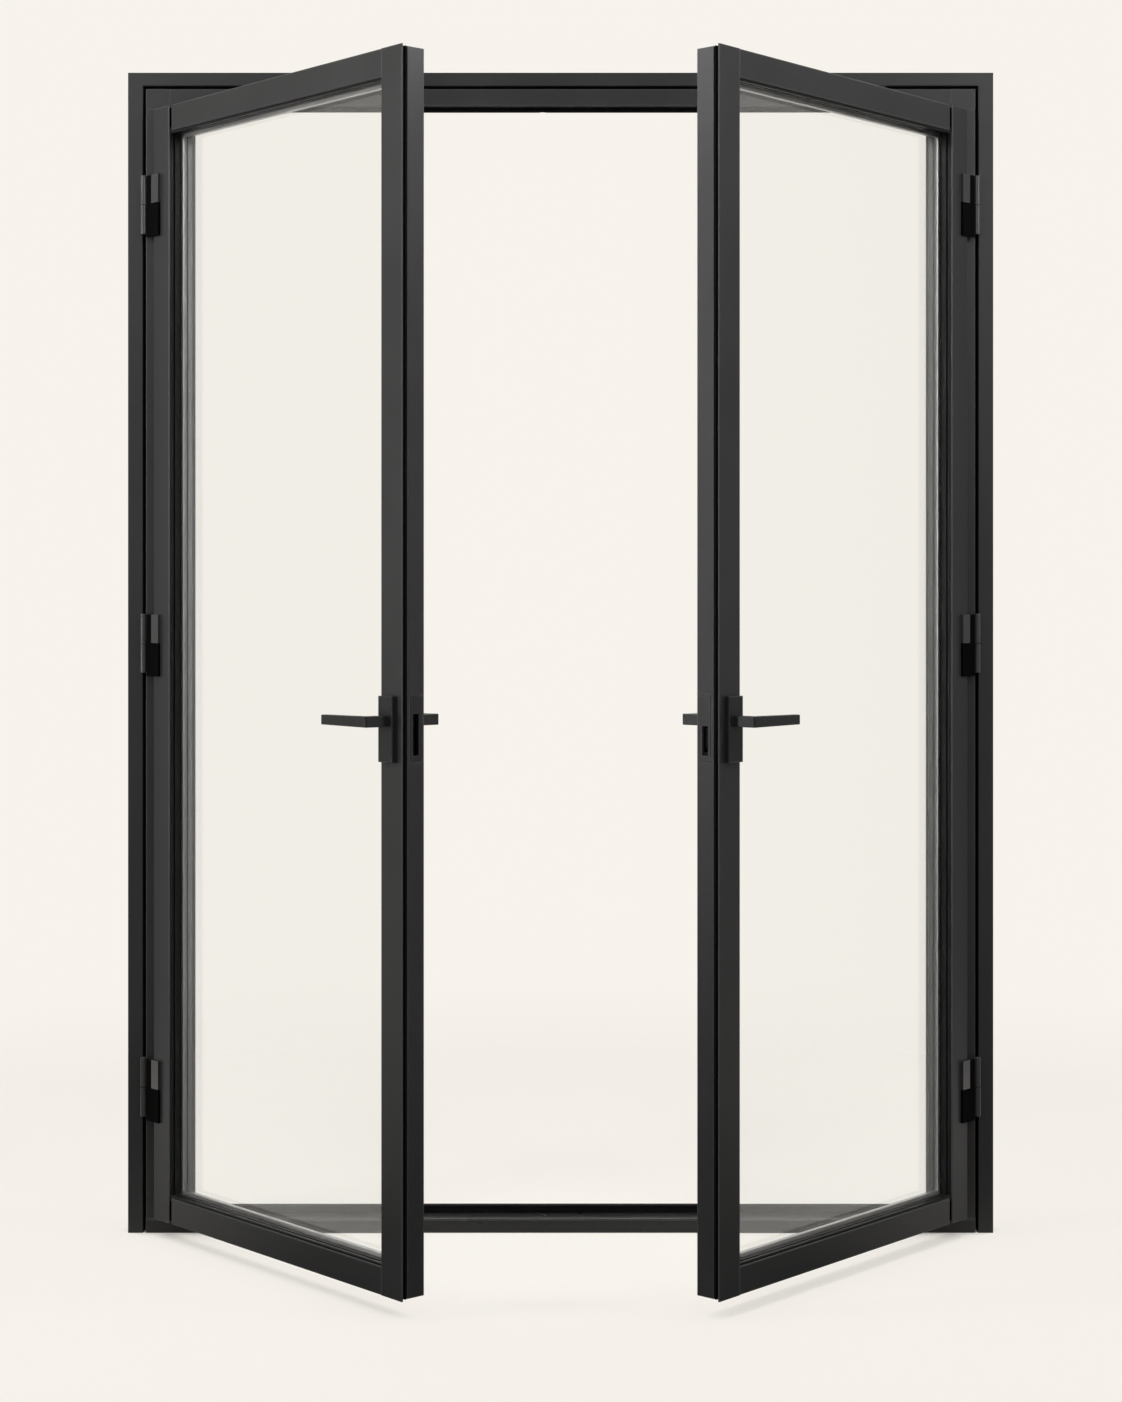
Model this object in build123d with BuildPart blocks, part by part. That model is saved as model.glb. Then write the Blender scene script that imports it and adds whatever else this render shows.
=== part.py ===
"""French doors in their frame: two glazed leaves, hinges, levers, bolts and seals.

Lengths are millimetres. X runs to the right, Y away from the viewer and Z up.
The origin is under the threshold, in the middle of the width and of the depth.
"""

import os
from math import cos, hypot, radians, sin

from build123d import *

os.makedirs("parts", exist_ok=True)

# Frame: an outer frame of two jambs and a head, a groove, and an inner frame.
frame_width = 1566
frame_height = 2100
frame_depth = 56
outer_jamb_face = 27
outer_head_face = 24
groove_width = 5.2
groove_depth = 42
wall = 2.2
inner_jamb_face = 21.4
inner_head_face = 30.8
corner_width = 43.4
corner_height = 36.4
sill_height = 26
sill_line_height = 1.4
sill_line_depth = 1.6
sill_line_drop = 1.4
stop_setback = 44.1
stop_width = 13.4
stop_height = 13.7
head_drop = 8
head_drop_setback = 17
head_drop_width = 6.5
stop_seal = 2
stop_seal_margin = 2
edge_round = 1.8
rim_round = 1.2
joint_round = 0.8
fixing_radius = 4.1
jamb_fixing_spacing = 900
jamb_fixing_height = 1050
head_fixing_spacing = 800
overrun = 5

# Leaves: both stand open by the same angle.
open_angle = 48.4
axis_front = 7
leaf_setback = 3.6
leaf_thickness = 45.2
leaf_gap = 3
meeting_gap = 3.4
leaf_floor_gap = 6.7
leaf_head_gap = 3
sight = 50
lock_sight = 57.2
rebate = 10
bead_show = 4
lip = 2.2
hinge_lip = 22
bead_joint = 0.4
bead_back = 22.5
bead_chamfer = 1.2
bead_butt = 0.2
bead_line_front = 9.2
bead_line_width = 4
bead_line_depth = 3
gasket_front = 3.4
gasket_cover = 8.8
gasket_foot = 2
pane = 3
pane_gap = 8
glass_clearance = 3
spacer_show = 5
spacer_edge = 2
block_length = 100
block_share = 0.25
seal_slot_front = 3
seal_slot_width = 8
seal_slot_depth = 6
seal_base = 3.5
seal_lip = 2
seal_proud = 1.2
plug_depth = 10
end_step = 3
corner_slot = 9.5
corner_slot_depth = 9

# Hinges: three lift-off barrels on each side, pinned in the groove.
low_hinge_height = 266.5
top_hinge_drop = 241
middle_hinge_share = 0.503
barrel_radius = 6.7
barrel_height = 52.4
barrel_gap = 1.6
barrel_bore = 40
barrel_cap = 1.5
barrel_edge = 1
pin_radius = 3.5
pin_clearance = 0.05
pin_low = 45
pin_high = 36
washer_radius = 7
washer_height = 1.3
socket_reach = 30
wing_width = 22
wing_thickness = 5
web_front = 2.4
web_thickness = 2.4
packer_gap = 3.3
packer_thickness = 4.4
packer_drop = 6

# Levers, plates, lock and bolts.
lever_height = 953
backset = 32.5
plate_width = 36.4
plate_above = 40
plate_below = 66
plate_thickness = 9
plate_round = 1.8
journal_radius = 7.5
journal_length = 5
journal_clearance = 0.05
journal_bore = 5.5
running_gap = 0.3
spindle_side = 8
spindle_grip = 15
spindle_hole = 6
lever_reach = 52
lever_arm = 112
lever_bar = 18
lever_tip = 16
lever_neck = 14
lever_thickness = 12
lever_bend = 4
lever_inner_bend = 3
lever_round = 1.2
face_width = 26
face_front = 16.5
face_length = 108.5
face_bottom = 887
face_recess = 1.2
face_thickness = 1.6
face_round = 6
face_gap = 0.7
face_edge = 0.3
slot_front = 22.6
slot_width = 11.8
slot_bottom = 898
keeper_slot = 66.4
lock_slot = 47
case_bottom = 890
case_top = 1000
lock_case_thickness = 14
hook_width = 14
hook_length = 30
hook_claw = 4
hook_claw_height = 8
hook_thickness = 8
hook_clearance = 0.3
hook_room = 1.5
hook_inset = 12
hook_height = 912
hook_pin = 3
gear_case_depth = 21.8
gear_case_front = 20
gear_case_thickness = 19
bolt_radius = 5
bolt_inset = 31
bolt_back = 29.5
bolt_clearance = 0.06
bolt_socket = 30
bolt_end_gap = 2
bolt_tuck = 1
bolt_hole = 6.3

# Places in the frame.
half_width = frame_width / 2
front = -frame_depth / 2
back = frame_depth / 2
groove_outer = half_width - outer_jamb_face
groove_inner = groove_outer - groove_width
reveal = groove_inner - inner_jamb_face
stop_inner = reveal - stop_width
stop_front = front + stop_setback
flange_front = front + groove_depth
outer_soffit = frame_height - outer_head_face
inner_head_top = outer_soffit - groove_width
soffit = inner_head_top - inner_head_face
head_low = soffit - head_drop
drop_front = front + head_drop_setback
corner_bottom = inner_head_top - corner_height
corner_inner = groove_inner - corner_width
jamb_fixings = (jamb_fixing_height - jamb_fixing_spacing / 2, jamb_fixing_height + jamb_fixing_spacing / 2)
top_hinge_height = frame_height - top_hinge_drop
middle_hinge_height = low_hinge_height + (top_hinge_height - low_hinge_height) * middle_hinge_share
hinge_levels = (low_hinge_height, middle_hinge_height, top_hinge_height)

# Places in a leaf, from the hinge axis: u along the leaf, n behind the axis.
hinge_x = groove_outer - groove_width / 2
hinge_y = front - axis_front
near = hinge_x - reveal + leaf_gap
packer_near = barrel_radius + packer_gap
far = hinge_x - meeting_gap / 2
face = leaf_setback
rear = leaf_setback + leaf_thickness
leaf_bottom = sill_height + leaf_floor_gap
leaf_top = head_low - leaf_head_gap
leaf_height = leaf_top - leaf_bottom
lip_front = rear - lip
tube = sight - rebate
flange = sight - bead_show
lock_tube = lock_sight - rebate
lock_flange = lock_sight - bead_show
hinge_tape = near + sight + hinge_lip - gasket_foot
lock_tape = far - lock_tube - gasket_cover
slot_end = near + sight + corner_slot
bead_front = face + wall + bead_joint
bead_rear = face + bead_back
glass_front = bead_rear + gasket_front
glass_rear = glass_front + pane + pane_gap + pane
seal_front = face + seal_slot_front
seal_rear = seal_front + seal_slot_width
seal_lip_front = (seal_front + seal_rear - seal_lip) / 2
lever_u = far - backset
bolt_u = far - bolt_inset
bolt_n = face + bolt_back
hook_u = far - hook_inset
hook_n = face + slot_front + slot_width / 2
hook_floor = hook_height - hook_width / 2 - hook_room
hook_swing = hypot(hook_width / 2 + hook_claw, hook_length)
hook_roof = hook_height + hook_swing + hook_room
hook_pocket = hook_inset + hook_width / 2 + hook_claw + hook_room
neck_front_root = face - plate_thickness - running_gap
neck_back_root = rear + plate_thickness + running_gap

along = (cos(radians(open_angle)), -sin(radians(open_angle)), 0)
behind = (sin(radians(open_angle)), cos(radians(open_angle)), 0)
toward = (-sin(radians(open_angle)), -cos(radians(open_angle)), 0)
leaf_plane = Plane(origin=(-hinge_x, hinge_y, 0), x_dir=along, z_dir=(0, 0, 1))
face_plane = Plane(origin=(-hinge_x, hinge_y, 0), x_dir=along, z_dir=toward)
cross_plane = Plane(origin=(-hinge_x, hinge_y, 0), x_dir=behind, z_dir=along)
out_axis = Axis((-hinge_x, hinge_y, 0), toward)
leaf_axis = Axis((-hinge_x, hinge_y, 0), along)

# Outer frame

with BuildPart() as outer_jamb_left:
    with BuildSketch() as outer_jamb_section:
        with BuildLine():
            Polyline(
                (-half_width, front),
                (-groove_outer, front),
                (-groove_outer, flange_front),
                (-groove_inner, flange_front),
                (-groove_inner, back),
                (-half_width, back),
                close=True,
            )
        make_face()
        fillet(outer_jamb_section.vertices().sort_by_distance((-groove_outer, front))[0], edge_round)
        with BuildLine():
            Polyline(
                (-half_width + wall, front + wall),
                (-groove_outer - wall, front + wall),
                (-groove_outer - wall, back - wall),
                (-half_width + wall, back - wall),
                close=True,
            )
        make_face(mode=Mode.SUBTRACT)
    extrude(amount=frame_height)
    # The jamb's edge is rounded along the groove only, and square where the head meets it.
    with BuildSketch(Plane.XY.offset(outer_soffit)):
        with Locations((-groove_outer - edge_round / 2, front + edge_round / 2)):
            Rectangle(edge_round, edge_round)
    extrude(amount=outer_head_face)
    with BuildSketch(Plane.XZ.offset(-flange_front)):
        with Locations((-groove_outer + groove_width / 2, (frame_height + inner_head_top) / 2)):
            Rectangle(groove_width, frame_height - inner_head_top)
    extrude(amount=-(back - flange_front), mode=Mode.SUBTRACT)
    with BuildSketch(Plane.YZ.offset(-half_width - overrun)):
        with Locations((0, jamb_fixings[0]), (0, jamb_fixings[1])):
            Circle(fixing_radius)
    extrude(amount=outer_jamb_face + overrun + overrun, mode=Mode.SUBTRACT)
outer_jamb_left.part.label = "outer_jamb_left"
export_step(outer_jamb_left.part, "parts/outer_jamb_left.step")

with BuildPart() as outer_jamb_right:
    mirror(outer_jamb_left.part, about=Plane.YZ)
outer_jamb_right.part.label = "outer_jamb_right"
export_step(outer_jamb_right.part, "parts/outer_jamb_right.step")

with BuildPart() as outer_head:
    with BuildSketch(Plane.YZ.offset(-groove_outer)) as outer_head_section:
        with BuildLine():
            Polyline(
                (front, outer_soffit),
                (flange_front, outer_soffit),
                (flange_front, inner_head_top),
                (back, inner_head_top),
                (back, frame_height),
                (front, frame_height),
                close=True,
            )
        make_face()
        fillet(outer_head_section.vertices().sort_by_distance((front, outer_soffit))[0], edge_round)
        with BuildLine():
            Polyline(
                (front + wall, outer_soffit + wall),
                (back - wall, outer_soffit + wall),
                (back - wall, frame_height - wall),
                (front + wall, frame_height - wall),
                close=True,
            )
        make_face(mode=Mode.SUBTRACT)
    extrude(amount=groove_outer + groove_outer)
    with BuildSketch(Plane.XY.offset(outer_soffit - overrun)):
        with Locations((-head_fixing_spacing / 2, 0), (head_fixing_spacing / 2, 0)):
            Circle(fixing_radius)
    extrude(amount=outer_head_face + overrun + overrun, mode=Mode.SUBTRACT)
outer_head.part.label = "outer_head"
export_step(outer_head.part, "parts/outer_head.step")

# Inner frame

with BuildPart() as inner_jamb_left:
    with BuildSketch(Plane.XY.offset(sill_height)) as inner_jamb_section:
        with BuildLine():
            Polyline(
                (-groove_inner, front),
                (-reveal, front),
                (-reveal, stop_front),
                (-stop_inner, stop_front),
                (-stop_inner, back),
                (-groove_inner, back),
                close=True,
            )
        make_face()
        fillet(
            [
                inner_jamb_section.vertices().sort_by_distance(corner)[0]
                for corner in ((-groove_inner, front), (-reveal, front))
            ],
            edge_round,
        )
        with BuildLine():
            Polyline(
                (-groove_inner + wall, front + wall),
                (-reveal - wall, front + wall),
                (-reveal - wall, back - wall),
                (-groove_inner + wall, back - wall),
                close=True,
            )
        make_face(mode=Mode.SUBTRACT)
    extrude(amount=corner_bottom - sill_height)
    with BuildSketch(Plane.YZ.offset(-groove_inner - overrun)):
        with Locations((0, jamb_fixings[0]), (0, jamb_fixings[1])):
            Circle(fixing_radius)
    extrude(amount=inner_jamb_face + overrun + overrun, mode=Mode.SUBTRACT)
inner_jamb_left.part.label = "inner_jamb_left"
export_step(inner_jamb_left.part, "parts/inner_jamb_left.step")

with BuildPart() as inner_jamb_right:
    mirror(inner_jamb_left.part, about=Plane.YZ)
inner_jamb_right.part.label = "inner_jamb_right"
export_step(inner_jamb_right.part, "parts/inner_jamb_right.step")

with BuildPart() as inner_head:
    with BuildSketch(Plane.YZ.offset(-corner_inner)) as inner_head_section:
        with Locations((0, (soffit + inner_head_top) / 2)):
            Rectangle(frame_depth, inner_head_face)
        fillet(
            [
                inner_head_section.vertices().sort_by_distance(corner)[0]
                for corner in ((front, soffit), (front, inner_head_top))
            ],
            edge_round,
        )
        with Locations((0, (soffit + inner_head_top) / 2)):
            Rectangle(frame_depth - wall * 2, inner_head_face - wall * 2, mode=Mode.SUBTRACT)
    extrude(amount=corner_inner + corner_inner)
    with BuildSketch(Plane.XY.offset(soffit - overrun)):
        with Locations((-head_fixing_spacing / 2, 0), (head_fixing_spacing / 2, 0)):
            Circle(fixing_radius)
    extrude(amount=inner_head_face + overrun + overrun, mode=Mode.SUBTRACT)
    with BuildSketch(Plane.XY.offset(soffit - overrun)):
        with Locations((-hinge_x + bolt_u, hinge_y + bolt_n)):
            Circle(bolt_hole)
    extrude(amount=overrun + wall + overrun, mode=Mode.SUBTRACT)
inner_head.part.label = "inner_head"
export_step(inner_head.part, "parts/inner_head.step")

with BuildPart() as corner_blocks:
    with BuildSketch(Plane.XY.offset(corner_bottom)):
        with Locations((-groove_inner + corner_width / 2, 0), (groove_inner - corner_width / 2, 0)):
            Rectangle(corner_width, frame_depth)
    extrude(amount=corner_height)
    fillet(corner_blocks.faces().group_by(Axis.Y)[0].edges(), joint_round)
corner_blocks.part.label = "corner_blocks"
export_step(corner_blocks.part, "parts/corner_blocks.step")

with BuildPart() as threshold:
    with BuildSketch(Plane.YZ.offset(-groove_inner)) as threshold_section:
        with BuildLine():
            Polyline(
                (front, 0),
                (back, 0),
                (back, sill_height),
                (front, sill_height),
                (front, sill_height - sill_line_drop),
                (front + sill_line_depth, sill_height - sill_line_drop),
                (front + sill_line_depth, sill_height - sill_line_drop - sill_line_height),
                (front, sill_height - sill_line_drop - sill_line_height),
                close=True,
            )
        make_face()
        fillet(threshold_section.vertices().sort_by_distance((front, sill_height))[0], rim_round)
        with BuildLine():
            Polyline(
                (front + wall + sill_line_depth, wall),
                (back - wall, wall),
                (back - wall, sill_height - wall),
                (front + wall + sill_line_depth, sill_height - wall),
                close=True,
            )
        make_face(mode=Mode.SUBTRACT)
    extrude(amount=groove_inner + groove_inner)
    with BuildSketch(Plane.XY.offset(sill_height + overrun)):
        with Locations((-hinge_x + bolt_u, hinge_y + bolt_n)):
            Circle(bolt_hole)
    extrude(amount=-(overrun + wall + overrun), mode=Mode.SUBTRACT)
threshold.part.label = "threshold"
export_step(threshold.part, "parts/threshold.step")

# Frame seals: soft stops under the head and on the threshold, strips on the jambs

with BuildPart() as head_seal:
    with BuildSketch(Plane.YZ.offset(-corner_inner)):
        with Locations((drop_front + head_drop_width / 2, soffit - head_drop / 2)):
            Rectangle(head_drop_width, head_drop)
    extrude(amount=corner_inner + corner_inner)
    with BuildSketch(Plane.XY.offset(head_low - overrun)):
        with Locations((-hinge_x + bolt_u, hinge_y + bolt_n)):
            Circle(bolt_hole)
    extrude(amount=head_drop + overrun + overrun, mode=Mode.SUBTRACT)
head_seal.part.label = "head_seal"
export_step(head_seal.part, "parts/head_seal.step")

with BuildPart() as threshold_seal:
    with BuildSketch(Plane.XY.offset(sill_height)):
        with Locations((0, (stop_front - stop_seal + back) / 2)):
            Rectangle(stop_inner + stop_inner, back - stop_front + stop_seal)
    extrude(amount=stop_height)
threshold_seal.part.label = "threshold_seal"
export_step(threshold_seal.part, "parts/threshold_seal.step")

with BuildPart() as jamb_seals:
    with BuildSketch(Plane.XY.offset(sill_height)):
        with Locations(
            (-(reveal + stop_inner) / 2, stop_front - stop_seal / 2),
            ((reveal + stop_inner) / 2, stop_front - stop_seal / 2),
        ):
            Rectangle(stop_width - stop_seal_margin * 2, stop_seal)
    extrude(amount=corner_bottom - sill_height)
jamb_seals.part.label = "jamb_seals"
export_step(jamb_seals.part, "parts/jamb_seals.step")

# Hinge parts on the frame

with BuildPart() as hinge_sockets_left:
    for level in hinge_levels:
        socket_top = level - barrel_gap / 2
        socket_bottom = socket_top - barrel_height
        with BuildSketch(Plane.XY.offset(socket_top)):
            with Locations((-hinge_x, hinge_y)):
                Circle(barrel_radius)
        extrude(amount=-barrel_height)
        with BuildSketch(Plane.XY.offset(socket_top)):
            with Locations((-hinge_x, (hinge_y + front + socket_reach) / 2)):
                Rectangle(groove_width, front + socket_reach - hinge_y)
        extrude(amount=-(barrel_height - barrel_cap))
        barrel_ends = hinge_sockets_left.edges().filter_by(GeomType.CIRCLE)
        fillet(barrel_ends.sort_by_distance((-hinge_x, hinge_y, socket_bottom))[0], barrel_edge)
        with BuildSketch(Plane.XY.offset(socket_top)):
            with Locations((-hinge_x, hinge_y)):
                Circle(pin_radius)
        extrude(amount=-(pin_low - barrel_gap / 2), mode=Mode.SUBTRACT)
hinge_sockets_left.part.label = "hinge_sockets_left"
export_step(hinge_sockets_left.part, "parts/hinge_sockets_left.step")

with BuildPart() as hinge_sockets_right:
    mirror(hinge_sockets_left.part, about=Plane.YZ)
hinge_sockets_right.part.label = "hinge_sockets_right"
export_step(hinge_sockets_right.part, "parts/hinge_sockets_right.step")

with BuildPart() as hinge_pins:
    for level in hinge_levels:
        with BuildSketch(Plane.XY.offset(level - pin_low)):
            with Locations((-hinge_x, hinge_y), (hinge_x, hinge_y)):
                Circle(pin_radius)
        extrude(amount=pin_low + pin_high)
hinge_pins.part.label = "hinge_pins"
export_step(hinge_pins.part, "parts/hinge_pins.step")

with BuildPart() as hinge_washers:
    for level in hinge_levels:
        with BuildSketch(Plane.XY.offset(level - barrel_gap / 2)):
            with Locations((-hinge_x, hinge_y), (hinge_x, hinge_y)):
                Circle(washer_radius)
                Circle(pin_radius, mode=Mode.SUBTRACT)
        extrude(amount=washer_height)
hinge_washers.part.label = "hinge_washers"
export_step(hinge_washers.part, "parts/hinge_washers.step")

# Leaf profiles

with BuildPart() as left_hinge_stile:
    with BuildSketch(leaf_plane.offset(leaf_bottom)) as hinge_stile_section:
        with BuildLine():
            Polyline(
                (near, face),
                (near + sight, face),
                (near + sight, face + wall),
                (near + tube, face + wall),
                (near + tube, lip_front),
                (near + sight + hinge_lip, lip_front),
                (near + sight + hinge_lip, rear),
                (near, rear),
                close=True,
            )
        make_face()
        fillet(
            [
                hinge_stile_section.vertices().sort_by_distance(corner)[0]
                for corner in ((near, face), (near + sight, face))
            ],
            edge_round,
        )
        with BuildLine():
            Polyline(
                (near + wall, face + wall),
                (near + tube - wall, face + wall),
                (near + tube - wall, rear - wall),
                (near + wall, rear - wall),
                close=True,
            )
        make_face(mode=Mode.SUBTRACT)
    extrude(amount=leaf_height)
left_hinge_stile.part.label = "left_hinge_stile"
export_step(left_hinge_stile.part, "parts/left_hinge_stile.step")

with BuildPart() as right_hinge_stile:
    mirror(left_hinge_stile.part, about=Plane.YZ)
right_hinge_stile.part.label = "right_hinge_stile"
export_step(right_hinge_stile.part, "parts/right_hinge_stile.step")

# The lock stile before its slot is cut: the same for both leaves.
with BuildPart() as lock_stile_blank:
    with BuildSketch(leaf_plane.offset(leaf_bottom)) as lock_stile_section:
        with BuildLine():
            Polyline(
                (far, face),
                (far, seal_front),
                (far - seal_slot_depth, seal_front),
                (far - seal_slot_depth, seal_rear),
                (far, seal_rear),
                (far, rear),
                (far - lock_sight, rear),
                (far - lock_sight, lip_front),
                (far - lock_tube, lip_front),
                (far - lock_tube, face + wall),
                (far - lock_flange, face + wall),
                (far - lock_flange, face),
                close=True,
            )
        make_face()
        fillet(
            [
                lock_stile_section.vertices().sort_by_distance(corner)[0]
                for corner in ((far, face), (far, seal_front), (far, seal_rear), (far, rear))
            ],
            rim_round,
        )
        with BuildLine():
            Polyline(
                (far - seal_slot_depth - wall, face + wall),
                (far - seal_slot_depth - wall, seal_rear + wall),
                (far - wall, seal_rear + wall),
                (far - wall, rear - wall),
                (far - lock_tube + wall, rear - wall),
                (far - lock_tube + wall, face + wall),
                close=True,
            )
        make_face(mode=Mode.SUBTRACT)
    extrude(amount=leaf_height)
    # Behind the seal's groove both ends stop short of the front wall.
    for step_bottom in (leaf_bottom - overrun, leaf_top - end_step):
        with BuildSketch(leaf_plane.offset(step_bottom)):
            with Locations((far - (lock_tube - overrun) / 2, (seal_front + rear + overrun) / 2)):
                Rectangle(lock_tube + overrun, rear + overrun - seal_front)
        extrude(amount=end_step + overrun, mode=Mode.SUBTRACT)
    with BuildSketch(face_plane.offset(-face + overrun)):
        with Locations((lever_u, lever_height)):
            Circle(spindle_hole)
    extrude(amount=-(leaf_thickness + overrun + overrun), mode=Mode.SUBTRACT)
    with BuildSketch(cross_plane.offset(far + overrun)):
        with Locations((face + face_front + face_width / 2, face_bottom + face_length / 2)):
            RectangleRounded(face_width, face_length, face_round)
    extrude(amount=-(overrun + face_recess), mode=Mode.SUBTRACT)

with BuildPart() as left_lock_stile:
    add(lock_stile_blank.part)
    with BuildSketch(cross_plane.offset(far + overrun)):
        with Locations((hook_n, slot_bottom + keeper_slot / 2)):
            Rectangle(slot_width, keeper_slot)
    extrude(amount=-(overrun + wall + overrun), mode=Mode.SUBTRACT)
left_lock_stile.part.label = "left_lock_stile"
export_step(left_lock_stile.part, "parts/left_lock_stile.step")

# The right leaf's own pieces are drawn in the left leaf's place, then mirrored.
with BuildPart() as lock_stile_pattern:
    add(lock_stile_blank.part)
    with BuildSketch(cross_plane.offset(far + overrun)):
        with Locations((hook_n, slot_bottom + lock_slot / 2)):
            Rectangle(slot_width, lock_slot)
    extrude(amount=-(overrun + wall + overrun), mode=Mode.SUBTRACT)

with BuildPart() as right_lock_stile:
    mirror(lock_stile_pattern.part, about=Plane.YZ)
right_lock_stile.part.label = "right_lock_stile"
export_step(right_lock_stile.part, "parts/right_lock_stile.step")

with BuildPart() as left_top_rail:
    with BuildSketch(cross_plane.offset(near + tube)) as top_rail_section:
        with BuildLine():
            Polyline(
                (face, leaf_top),
                (rear, leaf_top),
                (rear, leaf_top - sight),
                (lip_front, leaf_top - sight),
                (lip_front, leaf_top - tube),
                (face + wall, leaf_top - tube),
                (face + wall, leaf_top - flange),
                (face, leaf_top - flange),
                close=True,
            )
        make_face()
        fillet(
            [
                top_rail_section.vertices().sort_by_distance(corner)[0]
                for corner in ((face, leaf_top), (face, leaf_top - flange))
            ],
            edge_round,
        )
        with BuildLine():
            Polyline(
                (face + wall, leaf_top - wall),
                (rear - wall, leaf_top - wall),
                (rear - wall, leaf_top - tube + wall),
                (face + wall, leaf_top - tube + wall),
                close=True,
            )
        make_face(mode=Mode.SUBTRACT)
    extrude(amount=far - lock_tube - near - tube)
    with BuildSketch(face_plane.offset(-face + overrun)):
        with Locations(((near + tube + slot_end) / 2, leaf_top - sight / 2)):
            Rectangle(slot_end - near - tube, sight + overrun + overrun)
    extrude(amount=-(overrun + corner_slot_depth), mode=Mode.SUBTRACT)
    add(left_hinge_stile.part, mode=Mode.SUBTRACT)
    add(lock_stile_blank.part, mode=Mode.SUBTRACT)
left_top_rail.part.label = "left_top_rail"
export_step(left_top_rail.part, "parts/left_top_rail.step")

with BuildPart() as right_top_rail:
    mirror(left_top_rail.part, about=Plane.YZ)
right_top_rail.part.label = "right_top_rail"
export_step(right_top_rail.part, "parts/right_top_rail.step")

with BuildPart() as left_bottom_rail:
    with BuildSketch(cross_plane.offset(near + tube)) as bottom_rail_section:
        with BuildLine():
            Polyline(
                (face, leaf_bottom),
                (rear, leaf_bottom),
                (rear, leaf_bottom + sight),
                (lip_front, leaf_bottom + sight),
                (lip_front, leaf_bottom + tube),
                (face + wall, leaf_bottom + tube),
                (face + wall, leaf_bottom + flange),
                (face, leaf_bottom + flange),
                close=True,
            )
        make_face()
        fillet(
            [
                bottom_rail_section.vertices().sort_by_distance(corner)[0]
                for corner in ((face, leaf_bottom), (face, leaf_bottom + flange))
            ],
            edge_round,
        )
        with BuildLine():
            Polyline(
                (face + wall, leaf_bottom + wall),
                (rear - wall, leaf_bottom + wall),
                (rear - wall, leaf_bottom + tube - wall),
                (face + wall, leaf_bottom + tube - wall),
                close=True,
            )
        make_face(mode=Mode.SUBTRACT)
    extrude(amount=far - lock_tube - near - tube)
    with BuildSketch(face_plane.offset(-face + overrun)):
        with Locations(((near + tube + slot_end) / 2, leaf_bottom + sight / 2)):
            Rectangle(slot_end - near - tube, sight + overrun + overrun)
    extrude(amount=-(overrun + corner_slot_depth), mode=Mode.SUBTRACT)
    add(left_hinge_stile.part, mode=Mode.SUBTRACT)
    add(lock_stile_blank.part, mode=Mode.SUBTRACT)
left_bottom_rail.part.label = "left_bottom_rail"
export_step(left_bottom_rail.part, "parts/left_bottom_rail.step")

with BuildPart() as right_bottom_rail:
    mirror(left_bottom_rail.part, about=Plane.YZ)
right_bottom_rail.part.label = "right_bottom_rail"
export_step(right_bottom_rail.part, "parts/right_bottom_rail.step")

# Plugs in the open ends of the stiles and, behind the corner slots, of the rails.
# The left lock stile's plugs guide the bolts.
with BuildPart() as plug_blank:
    for plug_bottom in (leaf_bottom, leaf_top - plug_depth):
        with BuildSketch(leaf_plane.offset(plug_bottom)):
            with BuildLine():
                Polyline(
                    (near + wall, face + wall),
                    (near + tube - wall, face + wall),
                    (near + tube - wall, rear - wall),
                    (near + wall, rear - wall),
                    close=True,
                )
            make_face()
        extrude(amount=plug_depth)
    for plug_bottom in (leaf_bottom + end_step, leaf_top - end_step - plug_depth):
        with BuildSketch(leaf_plane.offset(plug_bottom)):
            with BuildLine():
                Polyline(
                    (far - seal_slot_depth - wall, face + wall),
                    (far - seal_slot_depth - wall, seal_rear + wall),
                    (far - wall, seal_rear + wall),
                    (far - wall, rear - wall),
                    (far - lock_tube + wall, rear - wall),
                    (far - lock_tube + wall, face + wall),
                    close=True,
                )
            make_face()
        extrude(amount=plug_depth)
    for plug_bottom in (leaf_bottom + wall, leaf_top - tube + wall):
        with BuildSketch(leaf_plane.offset(plug_bottom)):
            with Locations(((near + tube + slot_end) / 2, (face + corner_slot_depth + rear - wall) / 2)):
                Rectangle(slot_end - near - tube, leaf_thickness - wall - corner_slot_depth)
        extrude(amount=tube - wall - wall)

with BuildPart() as left_end_plugs:
    add(plug_blank.part)
    with BuildSketch(leaf_plane.offset(leaf_bottom - overrun)):
        with Locations((bolt_u, bolt_n)):
            Circle(bolt_radius + bolt_clearance)
    extrude(amount=leaf_height + overrun + overrun, mode=Mode.SUBTRACT)
left_end_plugs.part.label = "left_end_plugs"
export_step(left_end_plugs.part, "parts/left_end_plugs.step")

with BuildPart() as right_end_plugs:
    mirror(plug_blank.part, about=Plane.YZ)
right_end_plugs.part.label = "right_end_plugs"
export_step(right_end_plugs.part, "parts/right_end_plugs.step")

# Glazing

with BuildPart() as left_glass:
    for pane_front in (glass_front, glass_front + pane + pane_gap):
        with BuildSketch(face_plane.offset(-pane_front)):
            with Locations(((near + tube + far - lock_tube) / 2, (leaf_bottom + leaf_top) / 2)):
                Rectangle(
                    far - lock_tube - near - tube - glass_clearance * 2,
                    leaf_height - tube * 2 - glass_clearance * 2,
                )
        extrude(amount=-pane)
left_glass.part.label = "left_glass"
export_step(left_glass.part, "parts/left_glass.step")

with BuildPart() as right_glass:
    mirror(left_glass.part, about=Plane.YZ)
right_glass.part.label = "right_glass"
export_step(right_glass.part, "parts/right_glass.step")

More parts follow.
